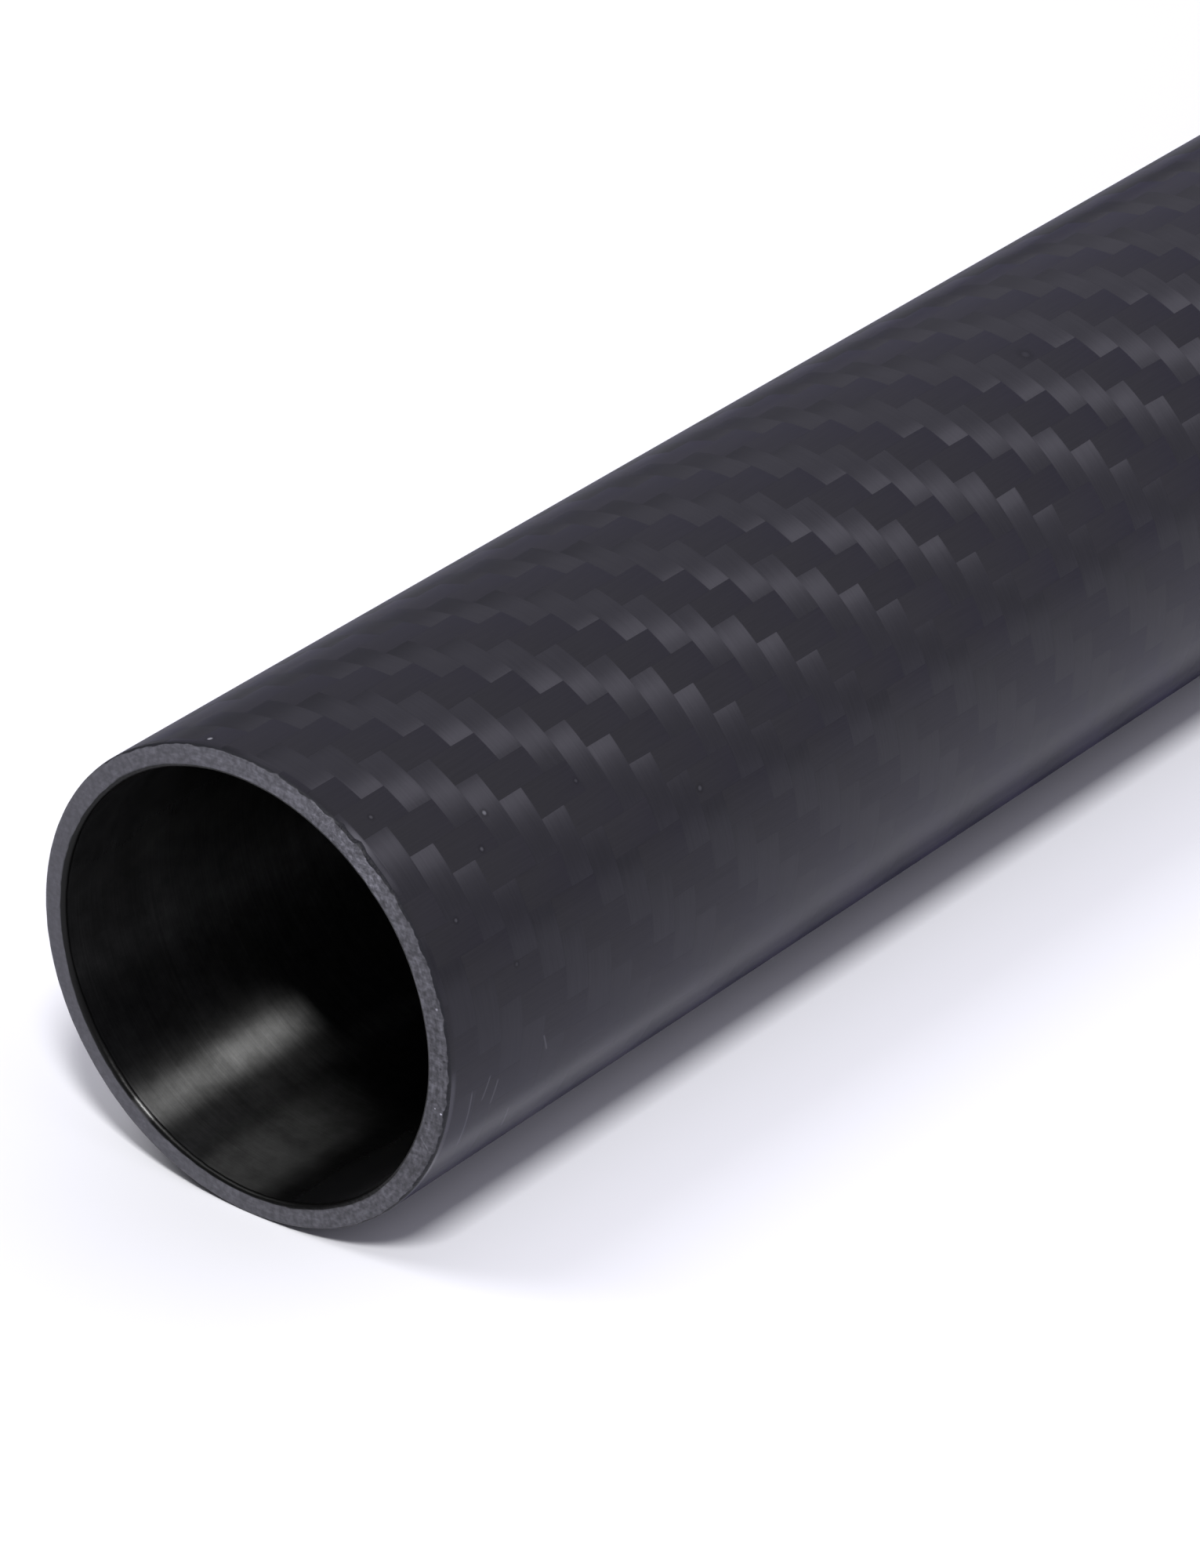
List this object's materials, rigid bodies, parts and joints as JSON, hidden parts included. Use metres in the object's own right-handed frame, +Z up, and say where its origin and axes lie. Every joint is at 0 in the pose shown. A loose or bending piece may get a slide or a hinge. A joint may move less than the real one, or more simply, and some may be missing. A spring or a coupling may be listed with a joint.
{
  "type": "carbon fibre tube",
  "caption": "Straight round roll-wrapped carbon fibre tube with a thin wall, square sawn ends and broken edges, lying on its side.",
  "frame": {"origin": "under the middle of the tube, on the line where it touches the ground", "axes": "+X along the tube's axis, from the end that the picture shows towards the far end; +Z up"},
  "size_m": [0.5, 0.03, 0.03],
  "materials": {
    "carbon_laminate": "satin"
  },
  "bodies": {
    "root": {"tube": "carbon_laminate"}
  },
  "joints": []
}
